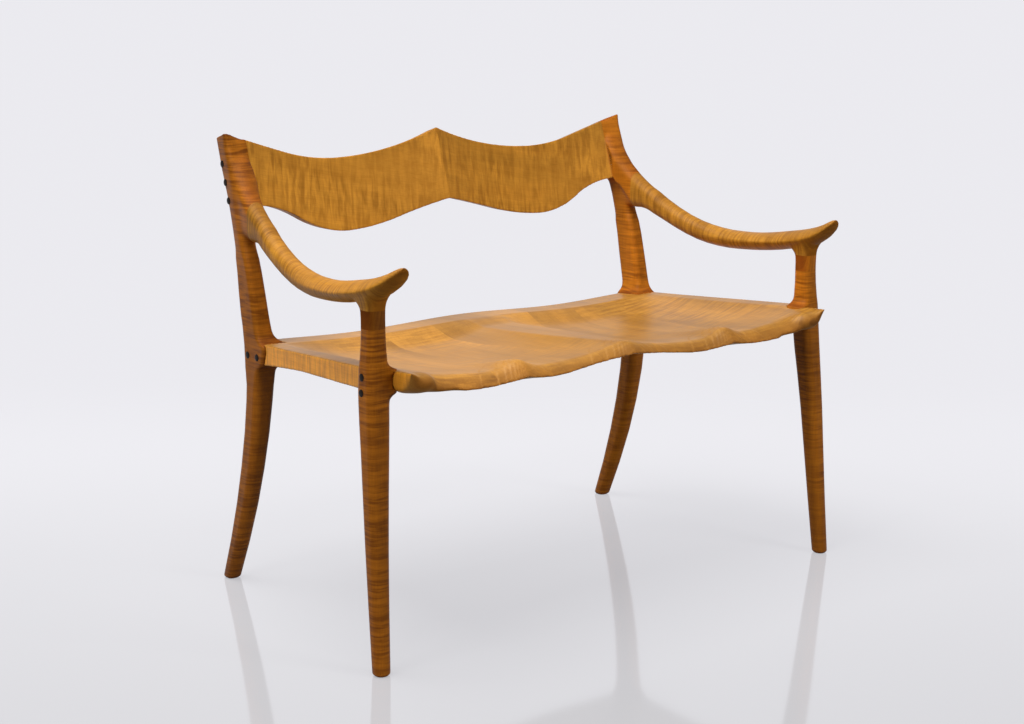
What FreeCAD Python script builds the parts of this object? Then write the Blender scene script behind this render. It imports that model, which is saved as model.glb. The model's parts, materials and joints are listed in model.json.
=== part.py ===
import FreeCAD, Part
import math
import os

# Wooden settee with a sculpted double seat and a low back, in millimetres.
# The front faces -Y, +Z is up, the floor is z = 0 and the middle plane is x = 0.
# The +X half is built and mirrored. Only the middle board of the seat crosses the middle plane.

V = FreeCAD.Vector

# Seat
SEAT_H = 456.0              # side rim height at y = 0
SEAT_RISE = 0.062           # the rim climbs towards the front
SEAT_SIDE = 460.0           # half width that the dished shape is drawn for
SEAT_FRONT_Y = -297.0       # front corners
SEAT_REAR_Y = 195.0
SEAT_NOSE = 9.0             # the front edge bows forward by this much
NECK_X = 459.0              # side of the seat in front of a front leg
RAIL_REAR_X = 445.5         # side of the seat at the rear
RAIL_FRONT_X = 479.0        # side of the seat at the front leg
RAIL_DEEP = 31.2            # thickness of the side rim at y = 0
RAIL_RISE = 0.0374
RAIL_TAIL = 15.0            # the sides grow deeper towards the rear legs
DISH = 6.5                  # dip of the rim in the middle of each seat
SADDLE = 10.5               # dip of the ridge between the seats
BELLY_EDGE = 11.0           # drop of the underside at the front and rear edges
BELLY_MID = 18.0
SCOOP = 20.0                # depth of a scoop below the rim
SCOOP_FRONT = 13.0
SCOOP_REAR_Y = 130.0
SCOOP_START_Y = -60.0
SCOOP_SIDE_POWER = 4.0
SCOOP_REAR_POWER = 3.2
POMMEL = 14.0               # swelling between the legs of a sitter
POMMEL_X = 231.0
POMMEL_W = 30.0
ROLL_DEEP = 43.0            # length of the rolled front edge
ROLL_RATE = 0.021
LIFT = 31.0                 # rise of the underside at the front corners
SEAM_X = 95.0               # glue lines between boards at y = 0
SEAM_STEP = 110.0
SEAM_SLANT = 7.0            # degrees
TONGUE = 8.0                # the seat enters each leg by this much
TONGUE_GAP = 0.3            # clearance at the bottom of the groove
TONGUE_MARGIN = 8.0         # cover above and below the tongue

# Legs
FRONT_FOOT_X = 500.0        # centre of a front foot
FRONT_FOOT_Y = -270.0
FRONT_TOP_X = 478.8         # centre of the top of a front leg
FRONT_TOP_Y = -226.9
FRONT_TOP_HALF = 16.6       # half thickness of a front leg at its top
REAR_FOOT_X = 443.0         # centre of a rear foot
REAR_FOOT_Y = 284.0
REAR_SEAT_Y = 181.0         # centre of a rear leg at the seat
POST_IN_X = 418.0           # inner and outer faces of a rear leg above the seat
POST_OUT_X = 453.0
POST_LOW_IN_X = 414.5       # inner face of a rear leg just below the seat
REAR_HALF = 24.0            # half depth of a rear leg at the seat
FOOT_HALF = 14.0
FOOT_CHAMFER = 4.0
FLARE = 17.0                # spread of a front leg where it lands on the seat
FLARE_REAR = 22.0           # the same at a rear leg
FLARE_LOW = 16.0            # the same below the seat
FLARE_BITE = 1.5            # a spread ends this far inside the seat

# Arms
ARM_OVER_SEAT = 118.8       # lowest point of the arm axis above the seat
BLOCK_DROP = 41.3           # top of a front leg below the arm axis
BLOCK_RISE = 17.0           # the spread of the block ends in the arm this far above its axis
BLOCK_TILT = 0.24           # slope of that end, as the arm climbs to its tip
GLUE_DROP = 12.8            # glue line between the arm and the block under it
ARM_JOINT_Y = 183.0         # face where an arm meets the rear leg
ARM_TIP_Y = -301.0
ARM_NOSE = 66.0             # the arm narrows to its tip over this length
ARM_EDGE = 1.2              # half thickness of the arm along its edges
ROOT_BELOW = 9.0            # the crotch under the root lies in front of the joint by this much

# Crest
CREST_JOINT_X = 405.5       # face where the crest meets the rear leg
CREST_OVER_ARM = 95.7       # lower end of that face above the arm axis
CREST_MID_RISE = 49.5       # height at which the crest plan is drawn, above that end
CREST_Y = 240.0             # front face of the crest at its ends, at that height
CREST_LEAN = 0.335          # backward lean of crest and post
CREST_FALL = 0.30           # the top edge falls towards the back
CREST_SAG = 20.0            # hollow of each half in plan, front face
CREST_BACK_SAG = 12.0
CREST_THICK = 33.0          # thickness at the ends of a half
PEAK_RISE = 114.9           # top edge at the middle, above the lower end of the joint
VALLEY_RISE = 70.0          # lowest top edge of a half
HORN_RISE = 125.5           # top edge at the outer side of the post
ARCH_DROP = 12.8            # bottom edge at the middle, below the lower end of the joint
BELLY_DROP = 57.0           # lowest bottom edge
VALLEY_X = 222.0            # place of the lowest top and bottom edges
CREST_BEND = 0.476          # share of the way from there to the horn at which the top edge turns straight

# Hardware
PLUG_R = 6.0
PLUG_REAR_Y = (7.0, -23.0)  # plugs of a rear leg beside its middle
PLUG_FRONT_Z = (12.0, -12.0)
PLUG_DROP = 3.0             # their middle below the middle of the seat's edge
PLUG_DEEP = 9.0
PLUG_PROUD = 0.6
HEAD_R = 4.5
HEAD_H = 3.5
SHANK_R = 2.4
SCREW_LONG = 58.0
DOWEL_R = 5.0
DOWEL_HALF = 24.0
SEAT_DOWEL_R = 2.5
SEAT_DOWEL_HALF = 10.0
PLUG_SIDES = 16             # small round pieces are drawn with few sides
PIN_SIDES = 8

# Heights that follow from these
ARM_H = SEAT_H + ARM_OVER_SEAT
ARM_JOINT_Z = ARM_H - BLOCK_DROP
ARM_GLUE_Z = ARM_H - GLUE_DROP
CREST_END = ARM_H + CREST_OVER_ARM
CREST_MID_Z = CREST_END + CREST_MID_RISE
CREST_PEAK = CREST_END + PEAK_RISE
CREST_VALLEY = CREST_END + VALLEY_RISE
CREST_HORN = CREST_END + HORN_RISE
CREST_ARCH = CREST_END - ARCH_DROP
CREST_BELLY = CREST_END - BELLY_DROP
FAR = 2 * CREST_HORN        # beyond the settee on every side


def flow(stations, t):
    # smooth value at t through (t, value) stations, no overshoot
    n = len(stations)
    if t <= stations[0][0]:
        return stations[0][1]
    if t >= stations[n - 1][0]:
        return stations[n - 1][1]
    gaps = []
    rates = []
    for k in range(n - 1):
        gaps.append(stations[k + 1][0] - stations[k][0])
        rates.append((stations[k + 1][1] - stations[k][1]) / gaps[k])
    slopes = [rates[0]]
    for k in range(1, n - 1):
        if rates[k - 1] * rates[k] <= 0:
            slopes.append(0.0)
        else:
            w1 = 2 * gaps[k] + gaps[k - 1]
            w2 = gaps[k] + 2 * gaps[k - 1]
            slopes.append((w1 + w2) / (w1 / rates[k - 1] + w2 / rates[k]))
    slopes.append(rates[n - 2])
    k = 0
    while t > stations[k + 1][0]:
        k = k + 1
    s = (t - stations[k][0]) / gaps[k]
    a = stations[k][1]
    b = stations[k + 1][1]
    h00 = 2 * s ** 3 - 3 * s ** 2 + 1
    h10 = s ** 3 - 2 * s ** 2 + s
    h01 = 3 * s ** 2 - 2 * s ** 3
    h11 = s ** 3 - s ** 2
    return h00 * a + h10 * gaps[k] * slopes[k] + h01 * b + h11 * gaps[k] * slopes[k + 1]


def step(a, b, t):
    # soft step from 0 at a to 1 at b
    s = (t - a) / (b - a)
    s = min(1.0, max(0.0, s))
    return s * s * (3 - 2 * s)


def spread(radius, d):
    # how far a leg spreads at distance d from the surface it lands on
    s = min(1.0, max(0.0, 1 - d / radius))
    return radius * s ** 3


def mirror(shape):
    return shape.mirror(V(0, 0, 0), V(1, 0, 0))


def box(x0, x1, y0, y1, z0, z1):
    return Part.makeBox(x1 - x0, y1 - y0, z1 - z0, V(x0, y0, z0))


def slab(corners, way):
    # flat polygon pushed along way
    return Part.Face(Part.makePolygon(corners + [corners[0]])).extrude(way)


def arc(a, b, c):
    return Part.Arc(a, b, c).toShape()


def loft(wires):
    return Part.makeLoft(wires, True, True)


def ring(xi, xo, yf, yb, z, soft, splay=0.0, swell=0.0, hinge=0.0, tilt=0.0):
    # outline across a leg: four sides with round corners, soft = 1 is fully round
    # splay turns the sides outwards to the front, swell pushes the front forward outside the hinge line
    # tilt raises the front of the outline and lowers its back
    lean = splay * (yb - yf) / 2
    back = 0.0
    if swell > 0:
        back = swell * (hinge - xi) / (xo - hinge)
    corners = [V(xo - lean, yb, z), V(xi - lean, yb, z), V(xi + lean, yf + back, z)]
    corners.append(V(xo + lean, yf - swell, z))
    for point in corners:
        point.z = z + tilt * ((yf + yb) / 2 - point.y)
    cut = soft * min(xo - xi, yb - yf) / 2
    starts = []
    mids = []
    ends = []
    for k in range(4):
        here = corners[k]
        before = corners[k - 1] - here
        after = corners[(k + 1) % 4] - here
        starts.append(here + before * (cut / before.Length))
        ends.append(here + after * (cut / after.Length))
        mids.append(here + (starts[k] + ends[k] - here * 2) * (1 - math.sqrt(0.5)))
    edges = []
    for k in range(4):
        edges.append(arc(starts[k], mids[k], ends[k]))
        edges.append(Part.makeLine(ends[k], starts[(k + 1) % 4]))
    return Part.Wire(edges)


def skin(rows, places):
    # one smooth face through rows of points; places are the positions of the rows along it
    columns = []
    for k in range(len(rows[0])):
        line = Part.BSplineCurve()
        line.interpolate(Points=[row[k] for row in rows], Parameters=places)
        columns.append(line.getPoles())
    grid = []
    for j in range(len(columns[0])):
        across = Part.BSplineCurve()
        across.interpolate(Points=[c[j] for c in columns], Parameters=list(range(len(columns))))
        grid.append(across.getPoles())
    surface = Part.BSplineSurface()
    surface.buildFromPolesMultsKnots(grid, line.getMultiplicities(), across.getMultiplicities(),
                                     line.getKnots(), across.getKnots(), False, False, 3, 3)
    return surface.toShape()


def sheet(height, x0, x1, nx, ys):
    # smooth surface through heights given by a formula, one row for each y
    rows = []
    for y in ys:
        row = []
        for i in range(nx):
            x = x0 + (x1 - x0) * i / (nx - 1)
            row.append(V(x, y, height(x, y)))
        rows.append(row)
    return skin(rows, ys)


# Seat shape
ROLL_Y = SEAT_FRONT_Y + ROLL_DEEP
SEAT_LONG = SEAT_REAR_Y - SEAT_FRONT_Y


def seat_y(k):
    # place along the seat, 0 at the front corners and 1 at the rear edge
    return SEAT_FRONT_Y + k * SEAT_LONG


def lobe(x):
    return math.sin(math.pi * min(abs(x), SEAT_SIDE) / SEAT_SIDE) ** 2


def roll(y):
    # rounding of the front edge
    d = max(0.0, ROLL_Y - y)
    return ROLL_RATE * d * d


def lift(y):
    # rounding of the underside at the front corners
    return LIFT * max(0.0, (ROLL_Y - y) / ROLL_DEEP) ** 3


def corner(x):
    # the top rolls down in front of a sitter, at the front corners the underside rolls up instead
    return step(0.872 * NECK_X, 0.983 * NECK_X, abs(x))


def rim(x, y):
    across = max(0.0, 1 - (x / SEAT_SIDE) ** 2)
    rear = step(SCOOP_REAR_Y - 0.126 * SEAT_LONG, SCOOP_REAR_Y, y)
    dip = DISH * lobe(x) + SADDLE * (1 - rear) * across
    return SEAT_H - SEAT_RISE * y - dip - roll(y) * (1 - corner(x))


def under(x, y):
    mid = max(0.0, 1 - ((y - seat_y(0.472)) / (0.478 * SEAT_LONG)) ** 2)
    belly = BELLY_EDGE + (BELLY_MID - BELLY_EDGE) * mid
    across = max(0.0, 1 - (x / (0.35 * SEAT_SIDE)) ** 2)
    crease = 0.36 * POMMEL * step(seat_y(0.3), seat_y(0.014), y) * across
    crease = crease + 0.5 * POMMEL * step(seat_y(0.136), seat_y(0.014), y) \
        * math.exp(-((abs(x) - POMMEL_X) / (2 * POMMEL_W)) ** 2)
    low = SEAT_H - RAIL_DEEP - RAIL_RISE * y
    low = low - RAIL_TAIL * max(0.0, y / SEAT_REAR_Y) ** 1.5 * (x / SEAT_SIDE) ** 4
    return low - belly * lobe(x) + crease + lift(y) * corner(x)


def scoop(x, y):
    # one hollow, from the front edge to its rear wall
    k = (y - SEAT_FRONT_Y) / SEAT_LONG
    outer = SEAT_SIDE * flow([(0, 1.006), (0.2, 0.967), (0.41, 0.939), (0.6, 0.93), (0.93, 0.922)], k)
    inner = SEAT_SIDE * flow([(0, 0.017), (0.156, 0.026), (0.42, 0.063), (0.6, 0.074), (0.93, 0.074)], k)
    s = (x - (outer + inner) / 2) / ((outer - inner) / 2)
    r = max(0.0, (y - SCOOP_START_Y) / (SCOOP_REAR_Y - SCOOP_START_Y))
    side = 1 - abs(s) ** SCOOP_SIDE_POWER
    rear = 1 - r ** SCOOP_REAR_POWER
    fill = min(side, rear)
    if fill > 0:
        fill = side * rear
    deep = SCOOP_FRONT + (SCOOP - SCOOP_FRONT) * step(0.055, 0.38, k)
    bump = POMMEL * math.exp(-((x - POMMEL_X) / POMMEL_W) ** 2) * step(0.38, 0.045, k)
    return rim(x, y) - deep * fill + bump


def wood_middle(x, y, half):
    # height of the middle of the wood that is common to a span of the seat across its boards
    tops = []
    lows = []
    for d in (-half, 0, half):
        tops.append(min(rim(x + d, y), scoop(x + d, y)))
        lows.append(under(x + d, y))
    return (min(tops) + max(lows)) / 2


def seat_blank():
    # outline of the seat seen from above, straight down
    low = SEAT_H / 2
    neck_y = FRONT_TOP_Y - 0.55 * FRONT_TOP_HALF
    side = [V(RAIL_REAR_X, SEAT_REAR_Y, low), V(RAIL_FRONT_X, neck_y, low), V(NECK_X, neck_y, low)]
    side.append(V(NECK_X, SEAT_FRONT_Y, low))
    far_side = []
    for point in side:
        far_side.append(V(-point.x, point.y, low))
    bend = []
    far_bend = []
    for across, bow in ((0.93, 0.35), (0.8, 0.74), (0.6, 1.0)):
        bend.append(V(across * NECK_X, SEAT_FRONT_Y - bow * SEAT_NOSE, low))
        far_bend.append(V(-across * NECK_X, SEAT_FRONT_Y - bow * SEAT_NOSE, low))
    edges = []
    for k in range(3):
        edges.append(Part.makeLine(side[k], side[k + 1]))
        edges.append(Part.makeLine(far_side[k], far_side[k + 1]))
    for start, points in ((side[3], bend), (far_side[3], far_bend)):
        curve = Part.BSplineCurve()
        along = points[0] - start
        curve.interpolate(Points=[start] + points, InitialTangent=along, FinalTangent=V(-start.x, 0, 0))
        edges.append(curve.toShape())
    edges.append(Part.makeLine(bend[2], far_bend[2]))
    edges.append(Part.makeLine(far_side[0], side[0]))
    outline = Part.Wire(Part.__sortEdges__(edges))
    return Part.Face(outline).extrude(V(0, 0, SEAT_H))


def seat_body():
    wide = 1.087 * SEAT_SIDE
    ys = []
    for k in range(10):
        ys.append(SEAT_FRONT_Y - 2.5 * SEAT_NOSE + 0.2 * ROLL_DEEP * k)
    front = ys[9]
    back = SEAT_REAR_Y + 0.04 * SEAT_LONG
    for k in range(20):
        ys.append(front + (back - front) * (k + 1) / 20)
    body = seat_blank()
    body = body.cut(sheet(rim, -wide, wide, 41, ys).extrude(V(0, 0, SEAT_H)))
    body = body.cut(sheet(under, -wide, wide, 41, ys).extrude(V(0, 0, -SEAT_H)))
    hollow = sheet(scoop, -0.013 * SEAT_SIDE, wide, 31, ys).extrude(V(0, 0, SEAT_H))
    body = body.cut(hollow)
    return body.cut(mirror(hollow))


def seam(k, y):
    # x of glue line k at y
    return SEAM_X + SEAM_STEP * k + math.tan(math.radians(SEAM_SLANT)) * y


def board_slab(k):
    # space between glue line k and glue line k + 1 on the +X half, or between the two first lines
    y0 = SEAT_FRONT_Y - 4 * SEAT_NOSE
    y1 = SEAT_REAR_Y + 4 * SEAT_NOSE
    low = SEAT_H / 2
    line = [V(seam(max(k, 0), y0), y0, low), V(seam(max(k, 0), y1), y1, low)]
    if k < 0:
        other = [V(-line[1].x, y1, low), V(-line[0].x, y0, low)]
    elif k < 2:
        other = [V(seam(k + 1, y1), y1, low), V(seam(k + 1, y0), y0, low)]
    else:
        other = [V(FAR, y1, low), V(FAR, y0, low)]
    return slab(line + other, V(0, 0, SEAT_H))


# Legs
def landing_levels(low, high, reach):
    # heights at which a leg is drawn where it passes the seat
    levels = []
    for d in (1.0, 0.6, 0.3, 0.06):
        levels.append(low + FLARE_BITE - d * FLARE_LOW)
    levels.append(low + 0.2 * (high - low))
    levels.append(high - 0.25 * (high - low))
    for d in (0.03, 0.18, 0.4, 0.65, 1.0):
        levels.append(high - FLARE_BITE + d * reach)
    return levels


def landing(z, low, high, reach):
    if z > (low + high) / 2:
        return spread(reach, z - high + FLARE_BITE)
    return spread(FLARE_LOW, low + FLARE_BITE - z)


def front_leg():
    high = rim(NECK_X, FRONT_TOP_Y)
    low = under(NECK_X, FRONT_TOP_Y)
    run_x = FRONT_FOOT_X - FRONT_TOP_X
    run_y = FRONT_FOOT_Y - FRONT_TOP_Y
    lean_x = [(0, 1.0), (0.47, 0.566), (0.84, 0.094), (1, 0.0)]
    lean_y = [(0, 1.0), (0.27, 0.675), (0.56, 0.374), (0.84, 0.06), (1, 0.0)]
    half = [(0, FOOT_HALF - 0.4), (0.34 * low, 15.8), (0.7 * low, 18.4), (low, 20.4), (high, 19.6),
            (high + 0.45 * (ARM_JOINT_Z - high), FRONT_TOP_HALF + 0.6), (ARM_JOINT_Z, FRONT_TOP_HALF)]
    soft = [(0, 0.92), (0.34 * low, 0.8), (0.7 * low, 0.7), (low, 0.6), (ARM_JOINT_Z, 0.7)]

    def cut_at(z, shrink):
        h = flow(half, z) - shrink
        x = FRONT_TOP_X + run_x * flow(lean_x, z / ARM_JOINT_Z)
        y = FRONT_TOP_Y + run_y * flow(lean_y, z / ARM_JOINT_Z)
        return ring(x - h - landing(z, low, high, FLARE), x + h, y - h, y + h, z, flow(soft, z))

    levels = [FOOT_CHAMFER]
    for k in (0.24, 0.45, 0.64, 0.79, 0.9):
        levels.append(low * k)
    levels = levels + landing_levels(low, high, FLARE)
    levels.append(high + 0.65 * (ARM_JOINT_Z - high))
    levels.append(ARM_JOINT_Z)
    wires = [cut_at(0, FOOT_CHAMFER)]
    for z in levels:
        wires.append(cut_at(z, 0))
    return loft(wires)


def post_front(z):
    return CREST_Y + CREST_LEAN * (z - CREST_MID_Z)


def rear_leg():
    high = rim(POST_IN_X + FOOT_HALF, REAR_SEAT_Y)
    low = under(POST_IN_X + FOOT_HALF, REAR_SEAT_Y)
    top = CREST_HORN + CREST_THICK
    reach = REAR_FOOT_Y - REAR_SEAT_Y
    span = CREST_END - high
    xi = [(0, REAR_FOOT_X - FOOT_HALF), (0.6 * low, POST_IN_X + 3), (0.96 * low, POST_LOW_IN_X),
          (high + 0.25 * span, POST_IN_X + 3), (high + 0.7 * span, POST_IN_X + 3),
          (CREST_END - 0.035 * span, POST_IN_X), (CREST_END - 0.015 * span, POST_IN_X - 4),
          (CREST_END, CREST_JOINT_X + 4), (CREST_END + 0.02 * span, CREST_JOINT_X - 12),
          (top, CREST_JOINT_X - 20)]
    xo = [(0, REAR_FOOT_X + FOOT_HALF), (0.6 * low, POST_OUT_X + 2), (low, POST_OUT_X + 1.5),
          (high + 0.25 * span, POST_OUT_X), (CREST_END, POST_OUT_X - 3), (top, POST_OUT_X - 6)]
    f0 = REAR_SEAT_Y - REAR_HALF
    f1 = post_front(CREST_END)
    b0 = REAR_SEAT_Y + REAR_HALF
    b1 = f1 + CREST_THICK
    yf = []
    yb = []
    for k, swing, front, back in ((0, 1.0, 15.5, 14.5), (0.24, 0.636, 20.0, 16.0), (0.48, 0.342, 23.5, 17.5),
                                  (0.72, 0.123, 23.0, 19.0), (0.96, -0.008, 20.0, 21.6)):
        yf.append((low * k, REAR_SEAT_Y + reach * swing - front))
        yb.append((low * k, REAR_SEAT_Y + reach * swing + back))
    for k, part in ((0.0, 0.0), (0.137, 0.06), (0.247, 0.143), (0.512, 0.361), (0.689, 0.557), (0.865, 0.79)):
        yf.append((high + span * k, f0 + (f1 - f0) * part))
    for k, part in ((0.0, 0.0), (0.137, 0.16), (0.247, 0.28), (0.512, 0.47), (0.689, 0.63)):
        yb.append((high + span * k, b0 + (b1 - b0) * part))
    for z in (CREST_END, CREST_MID_Z, top):
        yf.append((z, post_front(z)))
        yb.append((z, post_front(z) + CREST_THICK))
    soft = [(0, 0.9), (0.6 * low, 0.75), (0.9 * low, 0.6), (low, 0.2), (high, 0.2), (high + 0.15 * span, 0.6),
            (high + 0.7 * span, 0.66), (CREST_END, 0.55), (top, 0.5)]
    splay = [(high + 0.25 * span, 0.0), (CREST_END, 0.12), (top, 0.12)]
    swell = [(CREST_END - 0.15 * span, 0.0), (CREST_END, 6.0), (CREST_END + 0.2 * span, 13.0),
             (CREST_HORN - 0.15 * span, 10.0), (top, 9.0)]

    def cut_at(z, shrink):
        land = landing(z, low, high, FLARE_REAR)
        return ring(flow(xi, z) + shrink - 0.7 * land, flow(xo, z) - shrink, flow(yf, z) + shrink - land,
                    flow(yb, z) - shrink, z, flow(soft, z), flow(splay, z), flow(swell, z), CREST_JOINT_X)

    levels = [FOOT_CHAMFER]
    for k in (0.19, 0.37, 0.54, 0.7, 0.84, 0.91):
        levels.append(low * k)
    levels = levels + landing_levels(low, high, FLARE_REAR)
    for k in (0.2, 0.35, 0.52, 0.69, 0.84, 0.93, 0.965, 0.985, 1.0, 1.02, 1.1):
        levels.append(high + span * k)
    levels.append(0.4 * CREST_END + 0.6 * CREST_HORN)
    levels.append(top)
    wires = [cut_at(0, FOOT_CHAMFER)]
    for z in levels:
        wires.append(cut_at(z, 0))
    leg = loft(wires)
    return leg.cut(box(-FAR, CREST_JOINT_X, 0, FAR, CREST_END - 0.15 * span, FAR))


# Crest outline
def crest_top(x):
    # hollow up to the bend, then straight up to the horn
    if x < VALLEY_X:
        return CREST_VALLEY + (CREST_PEAK - CREST_VALLEY) * (1 - x / VALLEY_X) ** 2
    k = (x - VALLEY_X) / (POST_OUT_X - VALLEY_X)
    climb = k * k
    if k > CREST_BEND:
        climb = CREST_BEND * (2 * k - CREST_BEND)
    return CREST_VALLEY + (CREST_HORN - CREST_VALLEY) * climb / (CREST_BEND * (2 - CREST_BEND))


def crest_low(x):
    if x < VALLEY_X:
        s = x / VALLEY_X
        wave = 0.5 * (1 - s) ** 2 + 0.25 * (1 + math.cos(math.pi * s))
        return CREST_BELLY + (CREST_ARCH - CREST_BELLY) * wave
    s = min(1.0, (x - VALLEY_X) / (CREST_JOINT_X - VALLEY_X))
    wave = (0.5 - 0.5 * math.cos(math.pi * s)) ** 1.12
    return CREST_BELLY + (CREST_END - CREST_BELLY) * wave


def profile_cutter(edge, stops, far, fall):
    # everything beyond an edge line drawn on the front face, cut falling towards the back
    # the line is made of arcs through every third stop, and of one straight piece if a stop is left over
    points = []
    for x in stops:
        z = edge(x)
        face_y = post_front(z) + CREST_SAG * (1 - (2 * x / CREST_JOINT_X - 1) ** 2)
        points.append(V(x, 0, z + fall * face_y))
    edges = []
    k = 0
    while k + 2 < len(points):
        edges.append(arc(points[k], points[k + 1], points[k + 2]))
        k = k + 2
    if k + 1 < len(points):
        edges.append(Part.makeLine(points[k], points[k + 1]))
    a = points[0]
    b = points[-1]
    edges.append(Part.makeLine(b, V(b.x, 0, far)))
    edges.append(Part.makeLine(V(b.x, 0, far), V(a.x, 0, far)))
    edges.append(Part.makeLine(V(a.x, 0, far), a))
    return Part.Face(Part.Wire(edges)).extrude(V(0, FAR, -FAR * fall))


def crest_half():
    z0 = CREST_BELLY - CREST_THICK
    rise = CREST_HORN + CREST_THICK - z0

    def bow(y, sag):
        y = y + CREST_LEAN * (z0 - CREST_MID_Z)
        return arc(V(0, y, z0), V(CREST_JOINT_X / 2, y + sag, z0), V(CREST_JOINT_X, y, z0))

    front = bow(CREST_Y, CREST_SAG)
    back = bow(CREST_Y + CREST_THICK, CREST_BACK_SAG)
    end = Part.makeLine(front.Vertexes[1].Point, back.Vertexes[1].Point)
    middle = Part.makeLine(back.Vertexes[0].Point, front.Vertexes[0].Point)
    plan = Part.Face(Part.Wire([front, end, back, middle]))
    board = plan.extrude(V(0, CREST_LEAN * rise, rise))
    bend = VALLEY_X + CREST_BEND * (POST_OUT_X - VALLEY_X)
    stops = [0, VALLEY_X / 2, VALLEY_X, (VALLEY_X + bend) / 2, bend, POST_OUT_X]
    board = board.cut(profile_cutter(crest_top, stops, FAR, CREST_FALL))
    stops = []
    for k in (0, 0.25, 0.5, 0.75):
        stops.append(k * VALLEY_X)
    for k in (0, 0.25, 0.5, 0.75, 1):
        stops.append(VALLEY_X + k * (CREST_JOINT_X - VALLEY_X))
    return board.cut(profile_cutter(crest_low, stops, 0, 0.0))


# Arm, drawn by stations along its length: 0 at the tip, 1 at the joint with the rear leg, more in the root
# x and z are measured from the top of the front leg and from the arm axis
ARM_LONG = ARM_JOINT_Y - ARM_TIP_Y
ARM_X = [(0, -6.3), (0.105, -0.8), (0.209, -0.8), (0.415, -8.8), (0.622, -20.8), (0.829, -32.8), (1, -43.3),
         (1.048, -42.8), (1.143, -40)]
ARM_Z = [(0, 54.5), (0.019, 46), (0.039, 38), (0.085, 25.2), (0.136, 17.7), (0.209, 10.7), (0.312, 4.2),
         (0.415, 1.0), (0.519, 0.0), (0.622, 3.7), (0.725, 16.2), (0.829, 36.7), (0.932, 61.2), (1, 78.2),
         (1.081, 103), (1.143, 120)]
ARM_CROWN = [(0, 4), (0.019, 11), (0.039, 14.5), (0.105, 18.5), (0.209, 18.5), (0.415, 15), (0.519, 16),
             (0.622, 18.5), (0.829, 20.5), (0.911, 24), (1, 30), (1.048, 36), (1.085, 48), (1.114, 60),
             (1.143, 66)]
ARM_KEEL = [(0, 2), (0.014, 5), (0.039, 9), (0.085, 13), (0.136, 14), (0.209, 15), (0.312, 17), (0.519, 19),
            (0.622, 18.5), (0.829, 20.5), (0.911, 23), (0.963, 29), (1, 40), (1.056, 49), (1.143, 34)]
ARM_HALF = [(0.136, 29), (0.209, 29.5), (0.312, 28.5), (0.415, 26), (0.519, 23), (0.622, 20), (0.746, 18),
            (1, 17.3), (1.048, 14), (1.085, 11.5), (1.143, 9)]
ARM_SPREAD = [(0.979, 0), (1, 1.5), (1.048, 10), (1.085, 20), (1.143, 26)]


def arm_section(k):
    y = ARM_TIP_Y + k * ARM_LONG
    x = FRONT_TOP_X + flow(ARM_X, k)
    z = ARM_H + flow(ARM_Z, k)
    w = flow(ARM_HALF, k)
    nose = 1 - (y - ARM_TIP_Y) / ARM_NOSE
    if nose > 0:
        w = w * math.sqrt(1 - nose ** 2.2)
    x0 = x - w - flow(ARM_SPREAD, k)
    x1 = x + w
    mid = (x0 + x1) / 2
    crown = flow(ARM_CROWN, k)
    keel = flow(ARM_KEEL, k)
    upper = max(ARM_EDGE, crown - (x1 - x0) / 2)
    lower = max(ARM_EDGE, keel - (x1 - x0) / 2)
    top = arc(V(x1, y, z + upper), V(mid, y, z + crown), V(x0, y, z + upper))
    bottom = arc(V(x0, y, z - lower), V(mid, y, z - keel), V(x1, y, z - lower))
    inside = Part.makeLine(V(x0, y, z + upper), V(x0, y, z - lower))
    outside = Part.makeLine(V(x1, y, z - lower), V(x1, y, z + upper))
    return Part.Wire([top, inside, bottom, outside])


def arm_body():
    wires = []
    for k in (0.002, 0.008, 0.018, 0.035, 0.06, 0.095, 0.136, 0.18, 0.225, 0.27, 0.32, 0.37, 0.42, 0.47,
              0.52, 0.57, 0.62, 0.67, 0.73, 0.79, 0.85, 0.92, 0.965, 1, 1.048, 1.085, 1.114, 1.143):
        wires.append(arm_section(k))
    return loft(wires)


def arm_block_body():
    # spreads from the top of the front leg out to the edges of the arm
    x = FRONT_TOP_X
    y = FRONT_TOP_Y
    h = FRONT_TOP_HALF
    side = [(0, 0), (0.5, 0.3), (0.62, 1.3), (0.74, 3.4), (0.86, 6.4), (0.94, 8.7), (1, 10.4)]
    rear = [(0, 0), (0.46, 1), (0.56, 4), (0.66, 9), (0.78, 14), (0.9, 18), (1, 20)]
    front = [(0, 0), (0.5, 0.3), (0.65, 1.5), (0.8, 6), (0.9, 13), (1, 24)]
    wires = []
    for k in (0, 0.3, 0.48, 0.58, 0.68, 0.78, 0.88, 0.95, 1):
        s = flow(side, k)
        z = ARM_JOINT_Z + k * (BLOCK_DROP + BLOCK_RISE)
        yf = y - h - flow(front, k)
        yb = y + h + flow(rear, k)
        wires.append(ring(x - h - s, x + h + s, yf, yb, z, 0.7, tilt=BLOCK_TILT * k ** 4))
    return loft(wires)


# Joints and hardware
def groove_rear(gap):
    # slots in a rear leg for the tongue of the seat
    x_leg = POST_IN_X + FOOT_HALF
    low = under(x_leg, REAR_SEAT_Y) + TONGUE_MARGIN
    high = rim(x_leg, REAR_SEAT_Y) - TONGUE_MARGIN
    x = POST_LOW_IN_X - 0.7 * FLARE_LOW + TONGUE + gap
    y = REAR_SEAT_Y - REAR_HALF - FLARE_LOW + TONGUE + gap
    side = box(0, x, 0, 2 * REAR_SEAT_Y, low, high)
    front = box(0, POST_OUT_X - 1.5 * TONGUE, 0, y, low, high)
    return side.fuse(front)


def groove_front(gap):
    low = under(NECK_X, FRONT_TOP_Y) + TONGUE_MARGIN
    high = rim(NECK_X, FRONT_TOP_Y) - TONGUE_MARGIN
    return box(0, NECK_X + gap, 2 * FRONT_TOP_Y, 0, low, high)


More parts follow.
